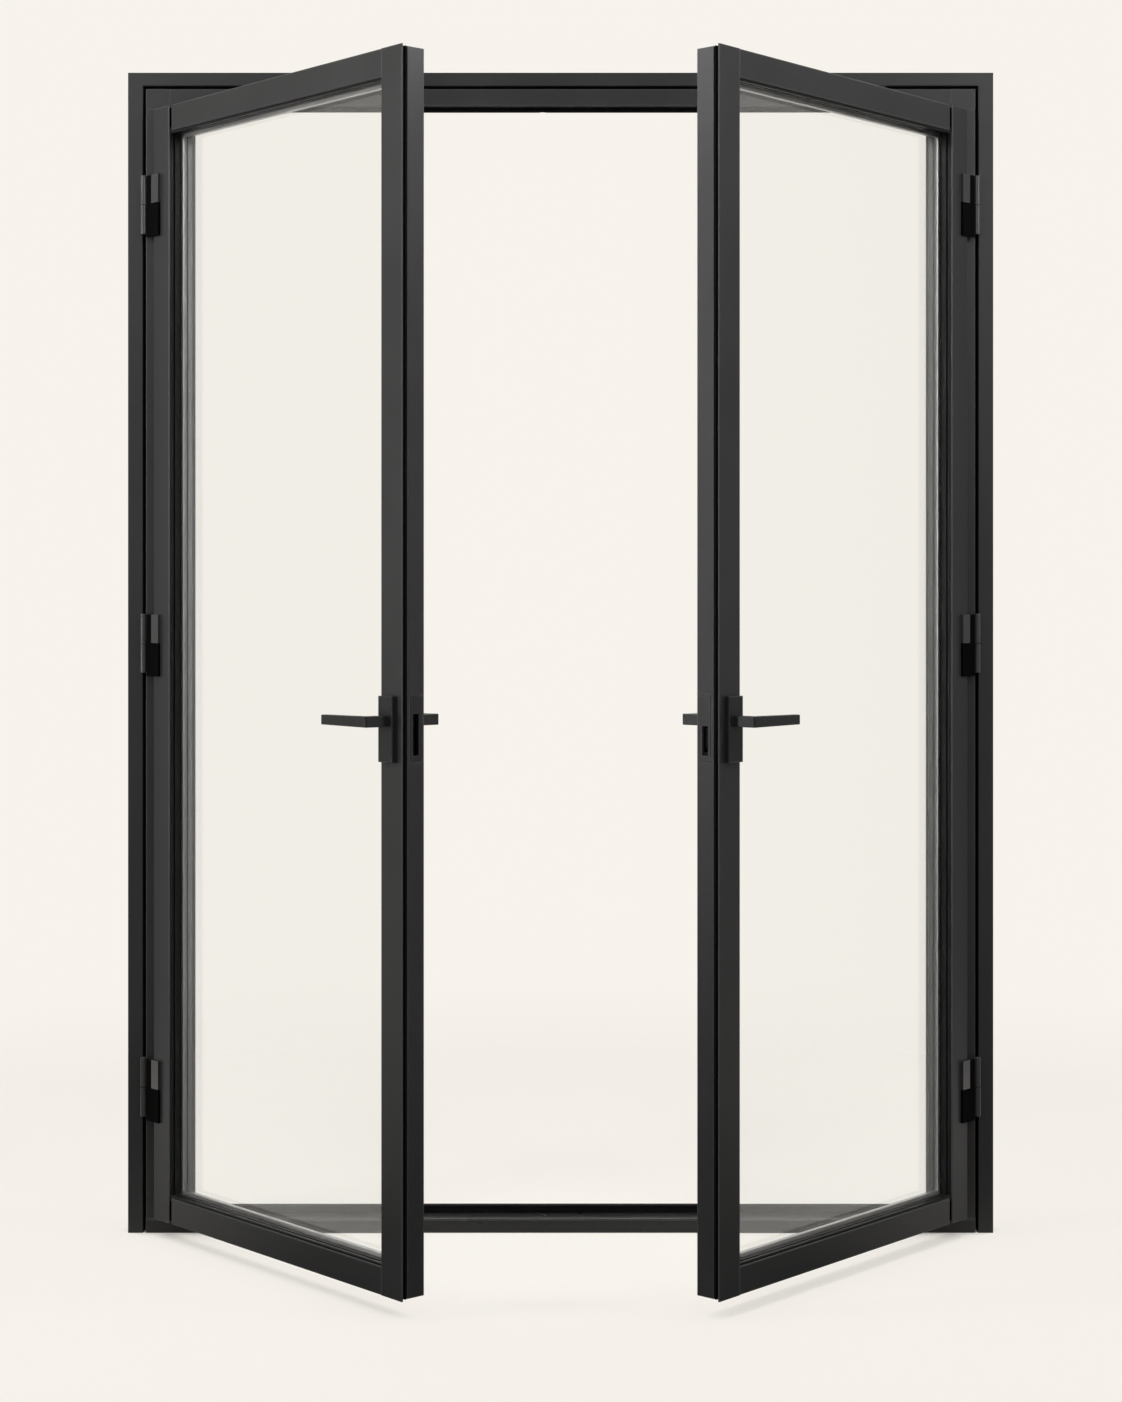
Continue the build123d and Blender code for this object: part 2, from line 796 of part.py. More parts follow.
with BuildPart() as left_spacer:
    with BuildSketch(face_plane.offset(-glass_front - pane)):
        with Locations(((near + tube + far - lock_tube) / 2, (leaf_bottom + leaf_top) / 2)):
            Rectangle(
                far - lock_tube - near - tube - (glass_clearance + spacer_edge) * 2,
                leaf_height - tube * 2 - (glass_clearance + spacer_edge) * 2,
            )
            Rectangle(
                far - lock_tube - near - tube - (rebate + spacer_show) * 2,
                leaf_height - tube * 2 - (rebate + spacer_show) * 2,
                mode=Mode.SUBTRACT,
            )
    extrude(amount=-pane_gap)
left_spacer.part.label = "left_spacer"
export_step(left_spacer.part, "parts/left_spacer.step")

with BuildPart() as right_spacer:
    mirror(left_spacer.part, about=Plane.YZ)
right_spacer.part.label = "right_spacer"
export_step(right_spacer.part, "parts/right_spacer.step")

with BuildPart() as left_front_gasket:
    with BuildSketch(face_plane.offset(-bead_rear)):
        with Locations(((near + tube + far - lock_tube) / 2, (leaf_bottom + leaf_top) / 2)):
            Rectangle(
                far - lock_tube - near - tube - gasket_foot * 2,
                leaf_height - tube * 2 - gasket_foot * 2,
            )
            Rectangle(
                far - lock_tube - near - tube - gasket_cover * 2,
                leaf_height - tube * 2 - gasket_cover * 2,
                mode=Mode.SUBTRACT,
            )
    extrude(amount=-gasket_front)
left_front_gasket.part.label = "left_front_gasket"
export_step(left_front_gasket.part, "parts/left_front_gasket.step")

with BuildPart() as right_front_gasket:
    mirror(left_front_gasket.part, about=Plane.YZ)
right_front_gasket.part.label = "right_front_gasket"
export_step(right_front_gasket.part, "parts/right_front_gasket.step")

with BuildPart() as left_back_gasket:
    with BuildSketch(face_plane.offset(-glass_rear)):
        with Locations(((near + tube + far - lock_tube) / 2, (leaf_bottom + leaf_top) / 2)):
            Rectangle(
                far - lock_tube - near - tube - gasket_foot * 2,
                leaf_height - tube * 2 - gasket_foot * 2,
            )
        with Locations(((hinge_tape + lock_tape) / 2, (leaf_bottom + leaf_top) / 2)):
            Rectangle(
                lock_tape - hinge_tape,
                leaf_height - tube * 2 - gasket_cover * 2,
                mode=Mode.SUBTRACT,
            )
    extrude(amount=-(lip_front - glass_rear))
left_back_gasket.part.label = "left_back_gasket"
export_step(left_back_gasket.part, "parts/left_back_gasket.step")

with BuildPart() as right_back_gasket:
    mirror(left_back_gasket.part, about=Plane.YZ)
right_back_gasket.part.label = "right_back_gasket"
export_step(right_back_gasket.part, "parts/right_back_gasket.step")

with BuildPart() as left_setting_blocks:
    with BuildSketch(face_plane.offset(-glass_front)):
        with Locations(
            (near + (far - near) * block_share, leaf_bottom + tube + glass_clearance / 2),
            (far - (far - near) * block_share, leaf_bottom + tube + glass_clearance / 2),
        ):
            Rectangle(block_length, glass_clearance)
    extrude(amount=-(glass_rear - glass_front))
left_setting_blocks.part.label = "left_setting_blocks"
export_step(left_setting_blocks.part, "parts/left_setting_blocks.step")

with BuildPart() as right_setting_blocks:
    mirror(left_setting_blocks.part, about=Plane.YZ)
right_setting_blocks.part.label = "right_setting_blocks"
export_step(right_setting_blocks.part, "parts/right_setting_blocks.step")

# Four glazing beads: the upright ones run through, the level ones stand between.
with BuildPart() as left_beads:
    with BuildSketch(leaf_plane.offset(leaf_bottom + tube)):
        with BuildLine():
            Polyline(
                (near + tube, bead_front),
                (near + sight - bead_chamfer, bead_front),
                (near + sight, bead_front + bead_chamfer),
                (near + sight, face + bead_line_front),
                (near + sight - bead_line_depth, face + bead_line_front),
                (near + sight - bead_line_depth, face + bead_line_front + bead_line_width),
                (near + sight, face + bead_line_front + bead_line_width),
                (near + sight, bead_rear),
                (near + tube, bead_rear),
                close=True,
            )
        make_face()
        with BuildLine():
            Polyline(
                (far - lock_tube, bead_front),
                (far - lock_sight + bead_chamfer, bead_front),
                (far - lock_sight, bead_front + bead_chamfer),
                (far - lock_sight, face + bead_line_front),
                (far - lock_sight + bead_line_depth, face + bead_line_front),
                (far - lock_sight + bead_line_depth, face + bead_line_front + bead_line_width),
                (far - lock_sight, face + bead_line_front + bead_line_width),
                (far - lock_sight, bead_rear),
                (far - lock_tube, bead_rear),
                close=True,
            )
        make_face()
    extrude(amount=leaf_height - tube - tube)
    with BuildSketch(cross_plane.offset(near + sight + bead_butt)):
        with BuildLine():
            Polyline(
                (bead_front, leaf_bottom + tube),
                (bead_front, leaf_bottom + sight - bead_chamfer),
                (bead_front + bead_chamfer, leaf_bottom + sight),
                (face + bead_line_front, leaf_bottom + sight),
                (face + bead_line_front, leaf_bottom + sight - bead_line_depth),
                (face + bead_line_front + bead_line_width, leaf_bottom + sight - bead_line_depth),
                (face + bead_line_front + bead_line_width, leaf_bottom + sight),
                (bead_rear, leaf_bottom + sight),
                (bead_rear, leaf_bottom + tube),
                close=True,
            )
        make_face()
        with BuildLine():
            Polyline(
                (bead_front, leaf_top - tube),
                (bead_front, leaf_top - sight + bead_chamfer),
                (bead_front + bead_chamfer, leaf_top - sight),
                (face + bead_line_front, leaf_top - sight),
                (face + bead_line_front, leaf_top - sight + bead_line_depth),
                (face + bead_line_front + bead_line_width, leaf_top - sight + bead_line_depth),
                (face + bead_line_front + bead_line_width, leaf_top - sight),
                (bead_rear, leaf_top - sight),
                (bead_rear, leaf_top - tube),
                close=True,
            )
        make_face()
    extrude(amount=far - lock_sight - near - sight - bead_butt * 2)
left_beads.part.label = "left_beads"
export_step(left_beads.part, "parts/left_beads.step")

with BuildPart() as right_beads:
    mirror(left_beads.part, about=Plane.YZ)
right_beads.part.label = "right_beads"
export_step(right_beads.part, "parts/right_beads.step")

with BuildPart() as left_meeting_seal:
    with BuildSketch(leaf_plane.offset(leaf_bottom + end_step)):
        with BuildLine():
            Polyline(
                (far - seal_slot_depth, seal_front),
                (far - seal_slot_depth + seal_base, seal_front),
                (far - seal_slot_depth + seal_base, seal_lip_front),
                (far + seal_proud, seal_lip_front),
                (far + seal_proud, seal_lip_front + seal_lip),
                (far - seal_slot_depth + seal_base, seal_lip_front + seal_lip),
                (far - seal_slot_depth + seal_base, seal_rear),
                (far - seal_slot_depth, seal_rear),
                close=True,
            )
        make_face()
    extrude(amount=leaf_height - end_step - end_step)
left_meeting_seal.part.label = "left_meeting_seal"
export_step(left_meeting_seal.part, "parts/left_meeting_seal.step")

with BuildPart() as right_meeting_seal:
    mirror(left_meeting_seal.part, about=Plane.YZ)
right_meeting_seal.part.label = "right_meeting_seal"
export_step(right_meeting_seal.part, "parts/right_meeting_seal.step")

# Hinge parts on the leaves

with BuildPart() as left_hinge_knuckles:
    for level in hinge_levels:
        knuckle_bottom = level + barrel_gap / 2
        with BuildSketch(leaf_plane.offset(knuckle_bottom)):
            Circle(barrel_radius)
        extrude(amount=barrel_height)
        fillet(left_hinge_knuckles.edges().sort_by(Axis.Z)[-1], barrel_edge)
        with BuildSketch(leaf_plane.offset(knuckle_bottom)):
            with Locations((near / 2, face - wing_thickness + web_front + web_thickness / 2)):
                Rectangle(near, web_thickness)
            with Locations((near + wing_width / 2, face - wing_thickness / 2)):
                Rectangle(wing_width, wing_thickness)
        extrude(amount=barrel_height - barrel_cap)
        with BuildSketch(leaf_plane.offset(knuckle_bottom)):
            Circle(pin_radius + pin_clearance)
        extrude(amount=barrel_bore, mode=Mode.SUBTRACT)
left_hinge_knuckles.part.label = "left_hinge_knuckles"
export_step(left_hinge_knuckles.part, "parts/left_hinge_knuckles.step")

with BuildPart() as right_hinge_knuckles:
    mirror(left_hinge_knuckles.part, about=Plane.YZ)
right_hinge_knuckles.part.label = "right_hinge_knuckles"
export_step(right_hinge_knuckles.part, "parts/right_hinge_knuckles.step")

# Packers: beside the barrel in front of the web, and below the wing on the leaf.
with BuildPart() as left_hinge_packers:
    for level in hinge_levels:
        knuckle_bottom = level + barrel_gap / 2
        packer_height = barrel_gap + barrel_height + packer_drop
        with BuildSketch(leaf_plane.offset(knuckle_bottom)):
            with Locations(((packer_near + near + wing_width) / 2, face - packer_thickness / 2)):
                Rectangle(near + wing_width - packer_near, packer_thickness)
        extrude(amount=-packer_height)
        with BuildSketch(leaf_plane.offset(knuckle_bottom)):
            with BuildLine():
                Polyline(
                    (packer_near, face - packer_thickness),
                    (near, face - packer_thickness),
                    (near, face - wing_thickness + web_front),
                    (packer_near, face - wing_thickness + web_front),
                    close=True,
                )
            make_face()
        extrude(amount=barrel_height - barrel_cap)
left_hinge_packers.part.label = "left_hinge_packers"
export_step(left_hinge_packers.part, "parts/left_hinge_packers.step")

with BuildPart() as right_hinge_packers:
    mirror(left_hinge_packers.part, about=Plane.YZ)
right_hinge_packers.part.label = "right_hinge_packers"
export_step(right_hinge_packers.part, "parts/right_hinge_packers.step")

# Lever plates, front and back

with BuildPart() as left_front_plate:
    with BuildSketch(face_plane.offset(-face)):
        with Locations((lever_u, lever_height + (plate_above - plate_below) / 2)):
            Rectangle(plate_width, plate_above + plate_below)
    extrude(amount=plate_thickness)
    fillet(left_front_plate.faces().sort_by(out_axis)[-1].edges(), plate_round)
    with BuildSketch(face_plane.offset(-face + plate_thickness)):
        with Locations((lever_u, lever_height)):
            Circle(journal_radius + journal_clearance)
    extrude(amount=-journal_bore, mode=Mode.SUBTRACT)
    with BuildSketch(face_plane.offset(-face + plate_thickness)):
        with Locations((lever_u, lever_height)):
            Circle(spindle_hole)
    extrude(amount=-(plate_thickness + overrun), mode=Mode.SUBTRACT)
left_front_plate.part.label = "left_front_plate"
export_step(left_front_plate.part, "parts/left_front_plate.step")

with BuildPart() as right_front_plate:
    mirror(left_front_plate.part, about=Plane.YZ)
right_front_plate.part.label = "right_front_plate"
export_step(right_front_plate.part, "parts/right_front_plate.step")

with BuildPart() as left_back_plate:
    with BuildSketch(face_plane.offset(-rear)):
        with Locations((lever_u, lever_height + (plate_above - plate_below) / 2)):
            Rectangle(plate_width, plate_above + plate_below)
    extrude(amount=-plate_thickness)
    fillet(left_back_plate.faces().sort_by(out_axis)[0].edges(), plate_round)
    with BuildSketch(face_plane.offset(-rear - plate_thickness)):
        with Locations((lever_u, lever_height)):
            Circle(journal_radius + journal_clearance)
    extrude(amount=journal_bore, mode=Mode.SUBTRACT)
    with BuildSketch(face_plane.offset(-rear - plate_thickness)):
        with Locations((lever_u, lever_height)):
            Circle(spindle_hole)
    extrude(amount=plate_thickness + overrun, mode=Mode.SUBTRACT)
left_back_plate.part.label = "left_back_plate"
export_step(left_back_plate.part, "parts/left_back_plate.step")

with BuildPart() as right_back_plate:
    mirror(left_back_plate.part, about=Plane.YZ)
right_back_plate.part.label = "right_back_plate"
export_step(right_back_plate.part, "parts/right_back_plate.step")

# Levers: a neck out of the plate, bent once, and an arm toward the hinges.

with BuildPart() as left_front_lever:
    with BuildSketch(leaf_plane.offset(lever_height - lever_bar / 2)) as front_bar:
        with BuildLine():
            Polyline(
                (lever_u + lever_neck / 2, neck_front_root),
                (lever_u + lever_neck / 2, face - lever_reach),
                (lever_u - lever_arm, face - lever_reach),
                (lever_u - lever_arm, face - lever_reach + lever_thickness),
                (lever_u - lever_neck / 2, face - lever_reach + lever_thickness),
                (lever_u - lever_neck / 2, neck_front_root),
                close=True,
            )
        make_face()
        fillet(front_bar.vertices().sort_by_distance((lever_u + lever_neck / 2, face - lever_reach))[0], lever_bend)
        fillet(
            front_bar.vertices().sort_by_distance(
                (lever_u - lever_neck / 2, face - lever_reach + lever_thickness)
            )[0],
            lever_inner_bend,
        )
    extrude(amount=lever_bar)
    with BuildSketch(face_plane.offset(-neck_front_root)):
        with BuildLine():
            Polyline(
                (lever_u + lever_neck / 2, lever_height - lever_bar / 2),
                (lever_u + lever_neck / 2, lever_height + lever_bar / 2),
                (lever_u - lever_arm, lever_height + lever_tip / 2),
                (lever_u - lever_arm, lever_height - lever_tip / 2),
                close=True,
            )
        make_face()
    extrude(amount=lever_reach, mode=Mode.INTERSECT)
    fillet(left_front_lever.faces().sort_by(Axis.Z)[-1].edges(), lever_round)
    fillet(left_front_lever.faces().sort_by(Axis.Z)[0].edges(), lever_round)
    with BuildSketch(face_plane.offset(-neck_front_root)):
        with Locations((lever_u, lever_height)):
            Circle(journal_radius)
    extrude(amount=-(running_gap + journal_length))
    with BuildSketch(face_plane.offset(-neck_front_root - running_gap - journal_length)):
        with Locations((lever_u, lever_height)):
            Rectangle(spindle_side, spindle_side)
    extrude(amount=running_gap + journal_length + spindle_grip, mode=Mode.SUBTRACT)
left_front_lever.part.label = "left_front_lever"
export_step(left_front_lever.part, "parts/left_front_lever.step")

with BuildPart() as right_front_lever:
    mirror(left_front_lever.part, about=Plane.YZ)
right_front_lever.part.label = "right_front_lever"
export_step(right_front_lever.part, "parts/right_front_lever.step")

with BuildPart() as left_back_lever:
    with BuildSketch(leaf_plane.offset(lever_height - lever_bar / 2)) as back_bar:
        with BuildLine():
            Polyline(
                (lever_u + lever_neck / 2, neck_back_root),
                (lever_u + lever_neck / 2, rear + lever_reach),
                (lever_u - lever_arm, rear + lever_reach),
                (lever_u - lever_arm, rear + lever_reach - lever_thickness),
                (lever_u - lever_neck / 2, rear + lever_reach - lever_thickness),
                (lever_u - lever_neck / 2, neck_back_root),
                close=True,
            )
        make_face()
        fillet(back_bar.vertices().sort_by_distance((lever_u + lever_neck / 2, rear + lever_reach))[0], lever_bend)
        fillet(
            back_bar.vertices().sort_by_distance(
                (lever_u - lever_neck / 2, rear + lever_reach - lever_thickness)
            )[0],
            lever_inner_bend,
        )
    extrude(amount=lever_bar)
    with BuildSketch(face_plane.offset(-neck_back_root)):
        with BuildLine():
            Polyline(
                (lever_u + lever_neck / 2, lever_height - lever_bar / 2),
                (lever_u + lever_neck / 2, lever_height + lever_bar / 2),
                (lever_u - lever_arm, lever_height + lever_tip / 2),
                (lever_u - lever_arm, lever_height - lever_tip / 2),
                close=True,
            )
        make_face()
    extrude(amount=-lever_reach, mode=Mode.INTERSECT)
    fillet(left_back_lever.faces().sort_by(Axis.Z)[-1].edges(), lever_round)
    fillet(left_back_lever.faces().sort_by(Axis.Z)[0].edges(), lever_round)
    with BuildSketch(face_plane.offset(-neck_back_root)):
        with Locations((lever_u, lever_height)):
            Circle(journal_radius)
    extrude(amount=running_gap + journal_length)
    with BuildSketch(face_plane.offset(-neck_back_root + running_gap + journal_length)):
        with Locations((lever_u, lever_height)):
            Rectangle(spindle_side, spindle_side)
    extrude(amount=-(running_gap + journal_length + spindle_grip), mode=Mode.SUBTRACT)
left_back_lever.part.label = "left_back_lever"
export_step(left_back_lever.part, "parts/left_back_lever.step")

with BuildPart() as right_back_lever:
    mirror(left_back_lever.part, about=Plane.YZ)
right_back_lever.part.label = "right_back_lever"
export_step(right_back_lever.part, "parts/right_back_lever.step")

with BuildPart() as left_spindle:
    with BuildSketch(face_plane.offset(-neck_front_root + spindle_grip)):
        with Locations((lever_u, lever_height)):
            Rectangle(spindle_side, spindle_side)
    extrude(amount=-(neck_back_root - neck_front_root + spindle_grip + spindle_grip))
left_spindle.part.label = "left_spindle"
export_step(left_spindle.part, "parts/left_spindle.step")

with BuildPart() as right_spindle:
    mirror(left_spindle.part, about=Plane.YZ)
right_spindle.part.label = "right_spindle"
export_step(right_spindle.part, "parts/right_spindle.step")

# Left leaf's keeper, gear case and the two bolts that its lever shoots

with BuildPart() as left_keeper_plate:
    with BuildSketch(cross_plane.offset(far - face_recess)):
        with Locations((face + face_front + face_width / 2, face_bottom + face_length / 2)):
            RectangleRounded(face_width - face_gap * 2, face_length - face_gap * 2, face_round - face_gap)
        with Locations((hook_n, slot_bottom + keeper_slot / 2)):
            Rectangle(slot_width, keeper_slot, mode=Mode.SUBTRACT)
    extrude(amount=face_thickness)
    fillet(left_keeper_plate.faces().sort_by(leaf_axis)[-1].edges(), face_edge)
left_keeper_plate.part.label = "left_keeper_plate"
export_step(left_keeper_plate.part, "parts/left_keeper_plate.step")

with BuildPart() as left_gear_case:
    with BuildSketch(leaf_plane.offset(case_bottom)):
        with Locations(
            (
                far - lock_tube + wall + gear_case_depth / 2,
                face + gear_case_front + gear_case_thickness / 2,
            )
        ):
            Rectangle(gear_case_depth, gear_case_thickness)
    extrude(amount=case_top - case_bottom)
    with BuildSketch(face_plane.offset(-face + overrun)):
        with Locations((lever_u, lever_height)):
            Circle(spindle_hole)
    extrude(amount=-(leaf_thickness + overrun + overrun), mode=Mode.SUBTRACT)
    with BuildSketch(leaf_plane.offset(case_top)):
        with Locations((bolt_u, bolt_n)):
            Circle(bolt_radius + bolt_clearance)
    extrude(amount=-bolt_socket, mode=Mode.SUBTRACT)
    with BuildSketch(leaf_plane.offset(case_bottom)):
        with Locations((bolt_u, bolt_n)):
            Circle(bolt_radius + bolt_clearance)
    extrude(amount=bolt_socket, mode=Mode.SUBTRACT)
left_gear_case.part.label = "left_gear_case"
export_step(left_gear_case.part, "parts/left_gear_case.step")

with BuildPart() as left_top_bolt:
    with BuildSketch(leaf_plane.offset(case_top - bolt_socket + bolt_end_gap)):
        with Locations((bolt_u, bolt_n)):
            Circle(bolt_radius)
    extrude(amount=leaf_top - end_step - bolt_tuck - case_top + bolt_socket - bolt_end_gap)
left_top_bolt.part.label = "left_top_bolt"
export_step(left_top_bolt.part, "parts/left_top_bolt.step")

with BuildPart() as left_bottom_bolt:
    with BuildSketch(leaf_plane.offset(leaf_bottom + end_step + bolt_tuck)):
        with Locations((bolt_u, bolt_n)):
            Circle(bolt_radius)
    extrude(amount=case_bottom + bolt_socket - bolt_end_gap - leaf_bottom - end_step - bolt_tuck)
left_bottom_bolt.part.label = "left_bottom_bolt"
export_step(left_bottom_bolt.part, "parts/left_bottom_bolt.step")

# Right leaf's lock: face plate, case with its pivot, and the hook bolt

with BuildPart() as lock_plate_pattern:
    with BuildSketch(cross_plane.offset(far - face_recess)):
        with Locations((face + face_front + face_width / 2, face_bottom + face_length / 2)):
            RectangleRounded(face_width - face_gap * 2, face_length - face_gap * 2, face_round - face_gap)
        with Locations((hook_n, slot_bottom + lock_slot / 2)):
            Rectangle(slot_width, lock_slot, mode=Mode.SUBTRACT)
    extrude(amount=face_thickness)
    fillet(lock_plate_pattern.faces().sort_by(leaf_axis)[-1].edges(), face_edge)

with BuildPart() as right_lock_plate:
    mirror(lock_plate_pattern.part, about=Plane.YZ)
right_lock_plate.part.label = "right_lock_plate"
export_step(right_lock_plate.part, "parts/right_lock_plate.step")

with BuildPart() as lock_case_pattern:
    with BuildSketch(leaf_plane.offset(case_bottom)):
        with Locations((far - lock_tube / 2, hook_n)):
            Rectangle(lock_tube - wall - wall, lock_case_thickness)
    extrude(amount=case_top - case_bottom)
    with BuildSketch(face_plane.offset(-face + overrun)):
        with Locations((lever_u, lever_height)):
            Circle(spindle_hole)
    extrude(amount=-(leaf_thickness + overrun + overrun), mode=Mode.SUBTRACT)
    with BuildSketch(cross_plane.offset(far)):
        with Locations((hook_n, (hook_floor + hook_roof) / 2)):
            Rectangle(hook_thickness + hook_clearance + hook_clearance, hook_roof - hook_floor)
    extrude(amount=-hook_pocket, mode=Mode.SUBTRACT)
    with BuildSketch(face_plane.offset(-hook_n + lock_case_thickness / 2)):
        with Locations((hook_u, hook_height)):
            Circle(hook_pin)
    extrude(amount=-lock_case_thickness)

with BuildPart() as right_lock_case:
    mirror(lock_case_pattern.part, about=Plane.YZ)
right_lock_case.part.label = "right_lock_case"
export_step(right_lock_case.part, "parts/right_lock_case.step")

with BuildPart() as hook_pattern:
    with BuildSketch(face_plane.offset(-hook_n + hook_thickness / 2)):
        with Locations((hook_u, hook_height)):
            Circle(hook_width / 2)
        with Locations((hook_u, hook_height + hook_length / 2)):
            Rectangle(hook_width, hook_length)
        with Locations(
            (
                hook_u - hook_width / 2 - hook_claw / 2,
                hook_height + hook_length - hook_claw_height / 2,
            )
        ):
            Rectangle(hook_claw, hook_claw_height)
        with Locations((hook_u, hook_height)):
            Circle(hook_pin + pin_clearance, mode=Mode.SUBTRACT)
    extrude(amount=-hook_thickness)

with BuildPart() as right_hook_bolt:
    mirror(hook_pattern.part, about=Plane.YZ)
right_hook_bolt.part.label = "right_hook_bolt"
export_step(right_hook_bolt.part, "parts/right_hook_bolt.step")
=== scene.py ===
"""French doors in their frame: finishes, glass, studio light and camera."""

import math

import bpy
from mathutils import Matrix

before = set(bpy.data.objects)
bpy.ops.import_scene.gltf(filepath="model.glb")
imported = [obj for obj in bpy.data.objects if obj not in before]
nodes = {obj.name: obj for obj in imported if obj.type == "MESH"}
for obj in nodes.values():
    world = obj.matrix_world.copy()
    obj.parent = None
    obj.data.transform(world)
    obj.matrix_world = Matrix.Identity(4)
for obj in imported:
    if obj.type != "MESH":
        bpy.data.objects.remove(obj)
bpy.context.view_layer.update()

# Frame: hollow aluminium profiles, cut square, screwed at the corners and powder coated
# in a satin near-black. The powder melts to a fine orange peel, its tone and gloss drift
# along each length, and its edges are painted paler as a highlight, the inner band's much paler.
satin_dark = (0.032, 0.032, 0.033, 1)
satin_pale = (0.040, 0.040, 0.041, 1)
# Much paler tone for the inner band's edges: a painted highlight.
band_highlight = (0.1, 0.1, 0.102, 1)
profile_skin = {"satin": (0.36, 0.46), "shine": 0.5, "peel_scale": 900, "peel_depth": 0.00006}
# Most of a noise texture's values lie between these two.
noise_low, noise_high = 0.3, 0.7


def group(name, inputs, outputs):
    """An empty node group with named number inputs and outputs, and its two ends."""
    made = bpy.data.node_groups.new(name, "ShaderNodeTree")
    for label, value in inputs.items():
        socket = made.interface.new_socket(label, in_out="INPUT", socket_type="NodeSocketFloat")
        socket.default_value = value
    for label in outputs:
        made.interface.new_socket(label, in_out="OUTPUT", socket_type="NodeSocketFloat")
    return made, made.nodes.new("NodeGroupInput"), made.nodes.new("NodeGroupOutput")


def placed(tree, effect):
    """A node group placed in a material."""
    made = tree.nodes.new("ShaderNodeGroup")
    made.node_tree = effect
    return made


def noise(tree, place, detail, roughness):
    """A noise texture that reads the given coordinates."""
    made = tree.nodes.new("ShaderNodeTexNoise")
    made.inputs["Detail"].default_value = detail
    made.inputs["Roughness"].default_value = roughness
    tree.links.new(place, made.inputs["Vector"])
    return made


def span(tree, value, low, high, to_low, to_high):
    """A value brought from one range into another."""
    made = tree.nodes.new("ShaderNodeMapRange")
    made.inputs["From Min"].default_value = low
    made.inputs["From Max"].default_value = high
    made.inputs["To Min"].default_value = to_low
    made.inputs["To Max"].default_value = to_high
    tree.links.new(value, made.inputs["Value"])
    return made.outputs["Result"]


def between(tree, share, dark, pale):
    """A colour between two tones, by a share from 0 to 1."""
    made = tree.nodes.new("ShaderNodeMix")
    made.data_type = "RGBA"
    made.inputs["A"].default_value = dark
    made.inputs["B"].default_value = pale
    tree.links.new(share, made.inputs["Factor"])
    return made


def surface(name):
    """A new material, its node tree and its shader."""
    made = bpy.data.materials.new(name)
    made.use_nodes = True
    return made, made.node_tree, made.node_tree.nodes["Principled BSDF"]


def raise_skin(tree, shader, height, strength, depth):
    """Tilts a shader's surface by a fine height."""
    bump = tree.nodes.new("ShaderNodeBump")
    bump.inputs["Strength"].default_value = strength
    bump.inputs["Distance"].default_value = depth
    tree.links.new(height, bump.inputs["Height"])
    tree.links.new(bump.outputs["Normal"], shader.inputs["Normal"])


def powder_skin():
    """Peel is the height of the melted powder, Drift a slow change along a length, Fleck fine grains."""
    made, entry, leave = group(
        "powder_skin",
        {"Peel Scale": 900, "Drift Scale": 5, "Fleck Scale": 2600},
        ("Peel", "Drift", "Fleck"),
    )
    place = made.nodes.new("ShaderNodeTexCoord").outputs["Object"]
    for label, detail, roughness in (("Peel", 2, 0.4), ("Drift", 3, 0.55), ("Fleck", 1, 0.5)):
        texture = noise(made, place, detail, roughness)
        made.links.new(entry.outputs[label + " Scale"], texture.inputs["Scale"])
        made.links.new(texture.outputs["Fac"], leave.inputs[label])
    return made


def painted_edge_highlight():
    """A share, 0 on a flat and 1 where the metal turns an edge within the reach, that places a painted
    highlight along edges.
    """
    reach = 0.0025
    flat_match = 0.998
    highlight_match = 0.94
    made, entry, leave = group("painted_edge_highlight", {"Reach": reach}, ("Highlight",))
    edge = made.nodes.new("ShaderNodeBevel")
    edge.samples = 4
    made.links.new(entry.outputs["Reach"], edge.inputs["Radius"])
    match = made.nodes.new("ShaderNodeVectorMath")
    match.operation = "DOT_PRODUCT"
    made.links.new(edge.outputs["Normal"], match.inputs[0])
    made.links.new(made.nodes.new("ShaderNodeNewGeometry").outputs["Normal"], match.inputs[1])
    highlight_share = span(made, match.outputs["Value"], flat_match, highlight_match, 0, 1)
    made.links.new(highlight_share, leave.inputs["Highlight"])
    return made


skin = powder_skin()
edge_highlight = painted_edge_highlight()


def powder_coat(name, dark, pale, painted_highlight, satin, shine, peel_scale, peel_depth):
    """Coated metal: two near tones, a third painted on its edges as a highlight, a range of roughness,
    and a fine peel.
    """
    drift_low, drift_high, drift_share = 0.35, 0.65, 0.65
    fleck_share = 0.35
    peel_strength = 0.5
    made, tree, shader = surface(name)
    shader.inputs["Specular IOR Level"].default_value = shine
    powder = placed(tree, skin)
    powder.inputs["Peel Scale"].default_value = peel_scale
    drift = powder.outputs["Drift"]
    speckle = tree.nodes.new("ShaderNodeMath")
    speckle.operation = "MULTIPLY_ADD"
    speckle.inputs[1].default_value = fleck_share
    tree.links.new(powder.outputs["Fleck"], speckle.inputs[0])
    tree.links.new(span(tree, drift, drift_low, drift_high, 0, drift_share), speckle.inputs[2])
    tone = between(tree, speckle.outputs["Value"], dark, pale)
    # Edges take the third tone: a painted highlight along rounded edges.
    highlighted = between(tree, placed(tree, edge_highlight).outputs["Highlight"], dark, painted_highlight)
    tree.links.new(tone.outputs["Result"], highlighted.inputs["A"])
    tree.links.new(highlighted.outputs["Result"], shader.inputs["Base Color"])
    tree.links.new(span(tree, drift, noise_low, noise_high, *satin), shader.inputs["Roughness"])
    raise_skin(tree, shader, powder.outputs["Peel"], peel_strength, peel_depth)
    return made


def finish(material, slot, *names):
    """Gives solids their finish; the slot that it belongs to is not used."""
    for name in names:
        nodes[name].data.materials.clear()
        nodes[name].data.materials.append(material)


frame_coat = powder_coat("frame_coat", satin_dark, satin_pale, satin_pale, **profile_skin)
band_coat = powder_coat("band_coat", satin_dark, satin_pale, band_highlight, **profile_skin)
finish(frame_coat, "dark_coat", "outer_jamb_left", "outer_jamb_right", "outer_head")
finish(band_coat, "dark_coat", "inner_jamb_left", "inner_jamb_right", "inner_head", "corner_blocks")
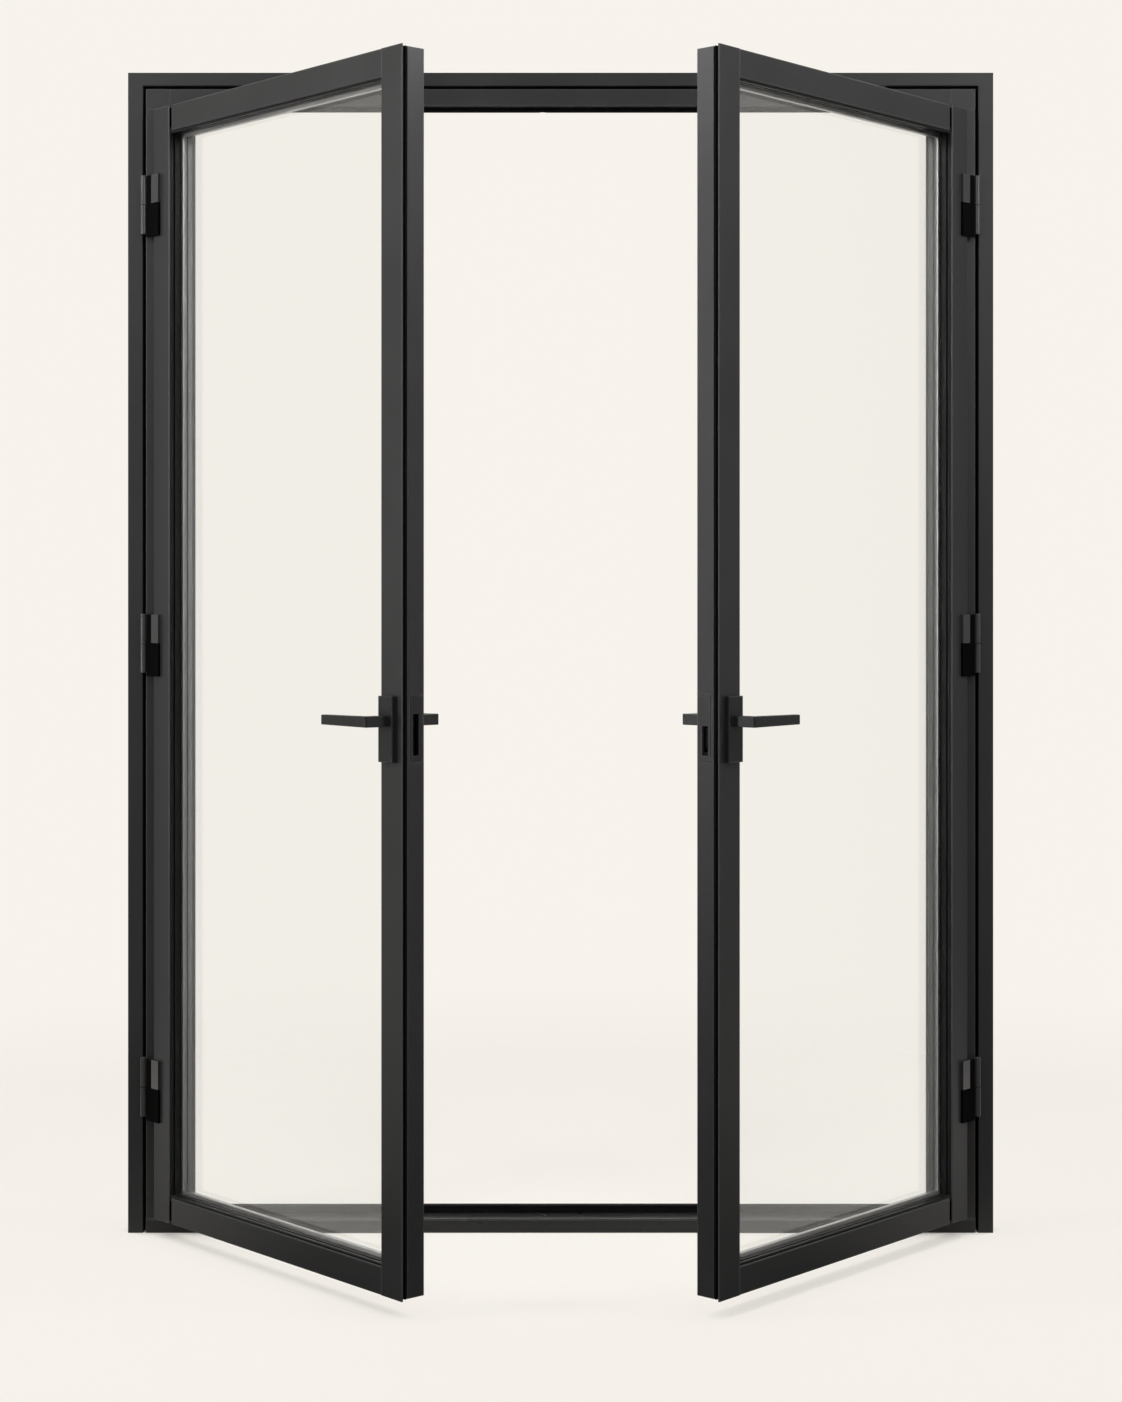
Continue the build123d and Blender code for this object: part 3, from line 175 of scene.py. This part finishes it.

# Threshold: one more coated profile, lying flat between the jambs, with a shadow line
# under its front edge. Feet have smoothed the tread a little, and its edges are painted pale as a
# highlight.
tread_coat = powder_coat(
    "tread_coat",
    dark=(0.022, 0.022, 0.023, 1),
    pale=(0.028, 0.028, 0.028, 1),
    # pale edges: a painted highlight
    painted_highlight=(0.16, 0.16, 0.16, 1),
    satin=(0.25, 0.36),
    shine=0.5,
    peel_scale=700,
    peel_depth=0.00006,
)
finish(tread_coat, "dark_coat", "threshold")

# Frame seals: black rubber stops under the head and along the back of the threshold,
# and strips on the jamb stops. The leaves press against them when shut.


def rubber_finish(name, dark, pale, shine):
    """Extruded rubber or plastic: dull, with draw lines too fine to see singly."""
    line_scale = 1800
    line_depth = 0.00008
    line_strength = 0.4
    dull = (0.62, 0.78)
    made, tree, shader = surface(name)
    shader.inputs["Specular IOR Level"].default_value = shine
    lines = placed(tree, skin)
    lines.inputs["Peel Scale"].default_value = line_scale
    tone = between(tree, lines.outputs["Drift"], dark, pale)
    tree.links.new(tone.outputs["Result"], shader.inputs["Base Color"])
    roughness = span(tree, lines.outputs["Peel"], noise_low, noise_high, *dull)
    tree.links.new(roughness, shader.inputs["Roughness"])
    raise_skin(tree, shader, lines.outputs["Peel"], line_strength, line_depth)
    return made


seal_rubber = rubber_finish(
    "seal_rubber", dark=(0.005, 0.005, 0.005, 1), pale=(0.009, 0.009, 0.009, 1), shine=0.08
)
finish(seal_rubber, "black_rubber", "head_seal", "threshold_seal", "jamb_seals")

# Leaves: each is four coated profiles, welded at the lock side and ground flush before
# coating, with a slot beside the hinge stile and plastic plugs in the open ends. The
# edges are painted paler as a highlight, and a rubber seal sits in the groove of the meeting edge.
leaf_highlight = (0.15, 0.15, 0.152, 1)
leaf_coat = powder_coat("leaf_coat", satin_dark, satin_pale, leaf_highlight, **profile_skin)
# Near-black plastic for the plugs, blocks and washers, and for the hinge packers, where its black is
# painted shade.
plug_plastic_and_shade = rubber_finish(
    "plug_plastic_and_shade", dark=(0.002, 0.002, 0.002, 1), pale=(0.004, 0.004, 0.004, 1), shine=0.04
)
for side in ("left", "right"):
    finish(
        leaf_coat,
        "dark_coat",
        side + "_hinge_stile",
        side + "_lock_stile",
        side + "_top_rail",
        side + "_bottom_rail",
    )
    finish(plug_plastic_and_shade, "black_plastic", side + "_end_plugs")
    finish(seal_rubber, "black_rubber", side + "_meeting_seal")

# Glazing: two panes of clear float glass on a dull aluminium spacer, stood on plastic
# setting blocks and bedded on grey tape, broad beside the hinges. Black gaskets and
# clipped-in coated beads hold them from the front.


def choose(tree, share, first, second, end):
    """Shows the first shader, or the second by a share from 0 to 1."""
    pick = tree.nodes.new("ShaderNodeMixShader")
    tree.links.new(share, pick.inputs["Fac"])
    tree.links.new(first, pick.inputs[1])
    tree.links.new(second, pick.inputs[2])
    tree.links.new(pick.outputs["Shader"], tree.nodes[end].inputs["Surface"])


def float_glass():
    """Clear glass that lets lamps through, with the faint waves of the float bath."""
    wave_scale = 2
    wave_depth = 0.0002
    wave_strength = 0.03
    made, tree, shader = surface("float_glass")
    shader.inputs["Base Color"].default_value = (0.996, 1, 0.997, 1)
    shader.inputs["Roughness"].default_value = 0
    shader.inputs["IOR"].default_value = 1.45
    shader.inputs["Transmission Weight"].default_value = 1
    place = tree.nodes.new("ShaderNodeTexCoord").outputs["Object"]
    wave = noise(tree, place, detail=1, roughness=0.4)
    wave.inputs["Scale"].default_value = wave_scale
    raise_skin(tree, shader, wave.outputs["Fac"], wave_strength, wave_depth)
    clear = tree.nodes.new("ShaderNodeBsdfTransparent")
    clear.inputs["Color"].default_value = (0.98, 0.985, 0.98, 1)
    shadow = tree.nodes.new("ShaderNodeLightPath").outputs["Is Shadow Ray"]
    choose(tree, shadow, shader.outputs["BSDF"], clear.outputs["BSDF"], "Material Output")
    return made


def bare_metal(name, dark, pale, satin):
    """Bare metal whose tone and gloss change a little along its length."""
    made, tree, shader = surface(name)
    shader.inputs["Metallic"].default_value = 1
    grain = placed(tree, skin)
    tone = between(tree, grain.outputs["Drift"], dark, pale)
    tree.links.new(tone.outputs["Result"], shader.inputs["Base Color"])
    roughness = span(tree, grain.outputs["Peel"], noise_low, noise_high, *satin)
    tree.links.new(roughness, shader.inputs["Roughness"])
    return made


glass = float_glass()
spacer_metal = bare_metal(
    "spacer_metal", dark=(0.52, 0.52, 0.515, 1), pale=(0.60, 0.60, 0.595, 1), satin=(0.42, 0.52)
)
glazing_tape = rubber_finish(
    "glazing_tape", dark=(0.25, 0.25, 0.245, 1), pale=(0.30, 0.30, 0.295, 1), shine=0.2
)
# The beads take a far darker copy of the leaf coat: painted shade for their place deep in the rebate.
bead_shaded_coat = powder_coat(
    "bead_shaded_coat",
    dark=(0.014, 0.014, 0.0145, 1),
    pale=(0.019, 0.019, 0.0195, 1),
    # paler at the edges: a painted highlight
    painted_highlight=(0.03, 0.03, 0.031, 1),
    satin=(0.36, 0.44),
    shine=0.12,
    peel_scale=900,
    peel_depth=0.00006,
)
for side in ("left", "right"):
    finish(glass, "clear_glass", side + "_glass")
    finish(spacer_metal, "spacer_metal", side + "_spacer")
    finish(plug_plastic_and_shade, "black_plastic", side + "_setting_blocks")
    finish(glazing_tape, "grey_rubber", side + "_back_gasket")
    finish(seal_rubber, "black_rubber", side + "_front_gasket")
    finish(bead_shaded_coat, "dark_coat", side + "_beads")

# Hinges: three lift-off barrels a side, turned from bar and coated a little glossier. The
# socket is clamped in the frame's groove, the knuckle's wing is fixed to the leaf, and a
# black plastic packer fills the space beside the barrel and below the wing. The packer is
# a near-black sheet standing in for the shade beside the barrel: painted shade.
barrel_coat = powder_coat(
    "barrel_coat",
    dark=(0.044, 0.044, 0.045, 1),
    pale=(0.054, 0.054, 0.055, 1),
    # paler at the edges: a painted highlight
    painted_highlight=(0.09, 0.09, 0.092, 1),
    satin=(0.2, 0.26),
    shine=1,
    peel_scale=1300,
    peel_depth=0.00003,
)
steel = bare_metal(
    "steel", dark=(0.42, 0.42, 0.41, 1), pale=(0.5, 0.5, 0.49, 1), satin=(0.25, 0.36)
)
for side in ("left", "right"):
    finish(barrel_coat, "hardware_coat", "hinge_sockets_" + side, side + "_hinge_knuckles")
    # The packers' near-black is painted shade beside the barrels.
    finish(plug_plastic_and_shade, "black_plastic", side + "_hinge_packers")
finish(steel, "bare_steel", "hinge_pins")
finish(plug_plastic_and_shade, "black_plastic", "hinge_washers")

# Levers: cast bars on flat plates, coated a little smoother than the profiles. A
# square steel spindle joins the front and back lever of each leaf.
lever_coat = powder_coat(
    "lever_coat",
    dark=(0.018, 0.018, 0.0185, 1),
    pale=(0.023, 0.023, 0.0235, 1),
    # paler at the edges: a painted highlight
    painted_highlight=(0.06, 0.06, 0.061, 1),
    satin=(0.34, 0.42),
    shine=0.5,
    peel_scale=1300,
    peel_depth=0.00003,
)
for side in ("left", "right"):
    finish(
        lever_coat,
        "hardware_coat",
        side + "_front_plate",
        side + "_back_plate",
        side + "_front_lever",
        side + "_back_lever",
    )
    finish(steel, "bare_steel", side + "_spindle")

# Lock: coated face plates let into the meeting edges, and behind them the right leaf's
# blackened hook lock and the left leaf's gear, which shoots a steel bolt up and down.
works_coat = powder_coat(
    "works_coat",
    dark=(0.007, 0.007, 0.007, 1),
    pale=(0.011, 0.011, 0.011, 1),
    # paler at the edges: a painted highlight
    painted_highlight=(0.015, 0.015, 0.015, 1),
    satin=(0.5, 0.6),
    shine=0.1,
    peel_scale=1300,
    peel_depth=0.00003,
)
finish(lever_coat, "hardware_coat", "left_keeper_plate", "right_lock_plate")
finish(works_coat, "hardware_coat", "left_gear_case", "right_lock_case", "right_hook_bolt")
finish(steel, "bare_steel", "left_top_bolt", "left_bottom_bolt")

# Studio floor: a sheet of pale paper that takes the doors' shadow from the lamps, with its
# glow dimmed near the doors and in hollows as painted shade. It melts into the cream
# backdrop further away. In front of the doors it isn't mirrored in the coats.
paper = (0.93, 0.896, 0.839, 1)
paper_in_light = (0.18, 0.1735, 0.163, 1)
paper_glow = 0.87
floor_reach = 12
floor_clear_from, floor_clear_to = 1.2, 3.2
mirrored_from, mirrored_to = -0.36, 0.25
painted_shade_reach = 0.3
painted_shade_darkest, painted_shade_ends = 0.08, 0.5


def joined(tree, operation, first, second):
    """Two values worked into one."""
    made = tree.nodes.new("ShaderNodeMath")
    made.operation = operation
    tree.links.new(first, made.inputs[0])
    tree.links.new(second, made.inputs[1])
    return made.outputs["Value"]


def seen_ray(tree, mirrored):
    """One for rays that the viewer sees straight, through glass, or mirrored by the given share."""
    path = tree.nodes.new("ShaderNodeLightPath")
    straight = joined(tree, "MAXIMUM", path.outputs["Is Camera Ray"], path.outputs["Is Transmission Ray"])
    shine = joined(tree, "MULTIPLY", path.outputs["Is Glossy Ray"], mirrored)
    unscattered = span(tree, path.outputs["Diffuse Depth"], 0, 1, 1, 0)
    return joined(tree, "MULTIPLY", joined(tree, "MAXIMUM", straight, shine), unscattered)


def paper_floor():
    """Paper with a shadow under the doors, partly cast and partly painted by dimming its glow near
    things, see-through far away, where the backdrop shows instead.
    """
    made, tree, shader = surface("paper_floor")
    shader.inputs["Base Color"].default_value = paper_in_light
    shader.inputs["Roughness"].default_value = 0.9
    shader.inputs["Specular IOR Level"].default_value = 0
    shader.inputs["Emission Color"].default_value = paper
    # The glow dims where nearby things hem the floor in: painted shade in corners and under the doors.
    painted_shade = tree.nodes.new("ShaderNodeAmbientOcclusion")
    painted_shade.samples = 6
    painted_shade.inputs["Distance"].default_value = painted_shade_reach
    glow_past_painted_shade = span(tree, painted_shade.outputs["AO"], painted_shade_darkest, painted_shade_ends, 0, paper_glow)
    spot = tree.nodes.new("ShaderNodeTexCoord").outputs["Object"]
    apart = tree.nodes.new("ShaderNodeSeparateXYZ")
    tree.links.new(spot, apart.inputs["Vector"])
    behind = span(tree, apart.outputs["Y"], mirrored_from, mirrored_to, 0, 1)
    glow = joined(tree, "MULTIPLY", seen_ray(tree, behind), glow_past_painted_shade)
    tree.links.new(glow, shader.inputs["Emission Strength"])
    away = tree.nodes.new("ShaderNodeVectorMath")
    away.operation = "LENGTH"
    tree.links.new(spot, away.inputs[0])
    fade = span(tree, away.outputs["Value"], floor_clear_from, floor_clear_to, 0, 1)
    fade.node.interpolation_type = "SMOOTHSTEP"
    clear = tree.nodes.new("ShaderNodeBsdfTransparent")
    choose(tree, fade, shader.outputs["BSDF"], clear.outputs["BSDF"], "Material Output")
    return made


bpy.ops.mesh.primitive_plane_add(size=floor_reach)
floor = bpy.context.object
floor.name = "floor"
floor.data.materials.append(paper_floor())

# Studio light: a wide soft box overhead, and on each side a narrow upright strip, a small
# high box and a box out in front. The strips draw the light lines along rounded edges, which the coats
# also paint paler as a highlight.
lamp_powers = {
    "left": {"strip": 12.5, "high": 10.5, "front": 9},
    "right": {"strip": 2.5, "high": 12.5, "front": 14},
}


def soft_box(name, place, target, wide, tall, power):
    """A flat soft box that faces a point."""
    lamp = bpy.data.lights.new(name, "AREA")
    lamp.shape = "RECTANGLE"
    lamp.size = wide
    lamp.size_y = tall
    lamp.energy = power
    made = bpy.data.objects.new(name, lamp)
    bpy.context.collection.objects.link(made)
    made.location = place
    aim = [t - p for t, p in zip(target, place)]
    made.rotation_euler = (
        math.acos(-aim[2] / math.dist(place, target)),
        0,
        math.atan2(aim[1], aim[0]) - math.pi / 2,
    )


soft_box("top_box", (0, -0.2, 4.6), (0, -0.15, 0), wide=4, tall=4, power=19)
for side, way in (("left", -1), ("right", 1)):
    for kind, place, target, wide, tall in (
        ("strip", (way * 2.3, -1.15, 1.7), (way * 0.6, -0.25, 1.6), 0.14, 2.4),
        ("high", (way * 2.0, -1.0, 2.8), (way * 0.6, -0.2, 1.7), 0.3, 0.6),
        ("front", (way * 1.8, -3.4, 2.8), (way * 0.5, -0.3, 1.4), 0.7, 1.3),
    ):
        soft_box(side + "_" + kind, place, target, wide, tall, lamp_powers[side][kind])

# Studio room: dim warm walls that fill the shadows. The viewer sees a cream backdrop
# instead, straight and through glass, and gloss mirrors it only from behind the doors.
room_tone = (1, 0.985, 0.96, 1)
room_light = 0.227
wall_way = (-0.1, 1, 0)
wall_from, wall_to = 0.3, 0.6
world = bpy.data.worlds.new("studio")
world.use_nodes = True
sky = world.node_tree
room = sky.nodes["Background"]
room.inputs["Color"].default_value = room_tone
room.inputs["Strength"].default_value = room_light
backdrop = sky.nodes.new("ShaderNodeBackground")
backdrop.inputs["Color"].default_value = paper
look = sky.nodes.new("ShaderNodeVectorMath")
look.operation = "DOT_PRODUCT"
look.inputs[1].default_value = wall_way
sky.links.new(sky.nodes.new("ShaderNodeTexCoord").outputs["Generated"], look.inputs[0])
wall_ahead = span(sky, look.outputs["Value"], wall_from, wall_to, 0, 1)
shown = seen_ray(sky, wall_ahead)
choose(sky, shown, room.outputs["Background"], backdrop.outputs["Background"], "World Output")
bpy.context.scene.world = world
bpy.context.scene.view_settings.view_transform = "Standard"

# Camera: level, square to the frame, with its film dropped so that the doors sit
# where the picture has them.
picture_height = 1402
focal_pixels = 2518
horizon_above_middle = 102.6
camera_place = (0.0007, -4.586, 1.1485)
lens = bpy.data.cameras.new("camera")
lens.sensor_width = 36
lens.lens = focal_pixels / picture_height * lens.sensor_width
lens.shift_y = -horizon_above_middle / picture_height
camera = bpy.data.objects.new("camera", lens)
bpy.context.collection.objects.link(camera)
camera.location = camera_place
camera.rotation_euler = (math.radians(90), 0, 0)
bpy.context.scene.camera = camera
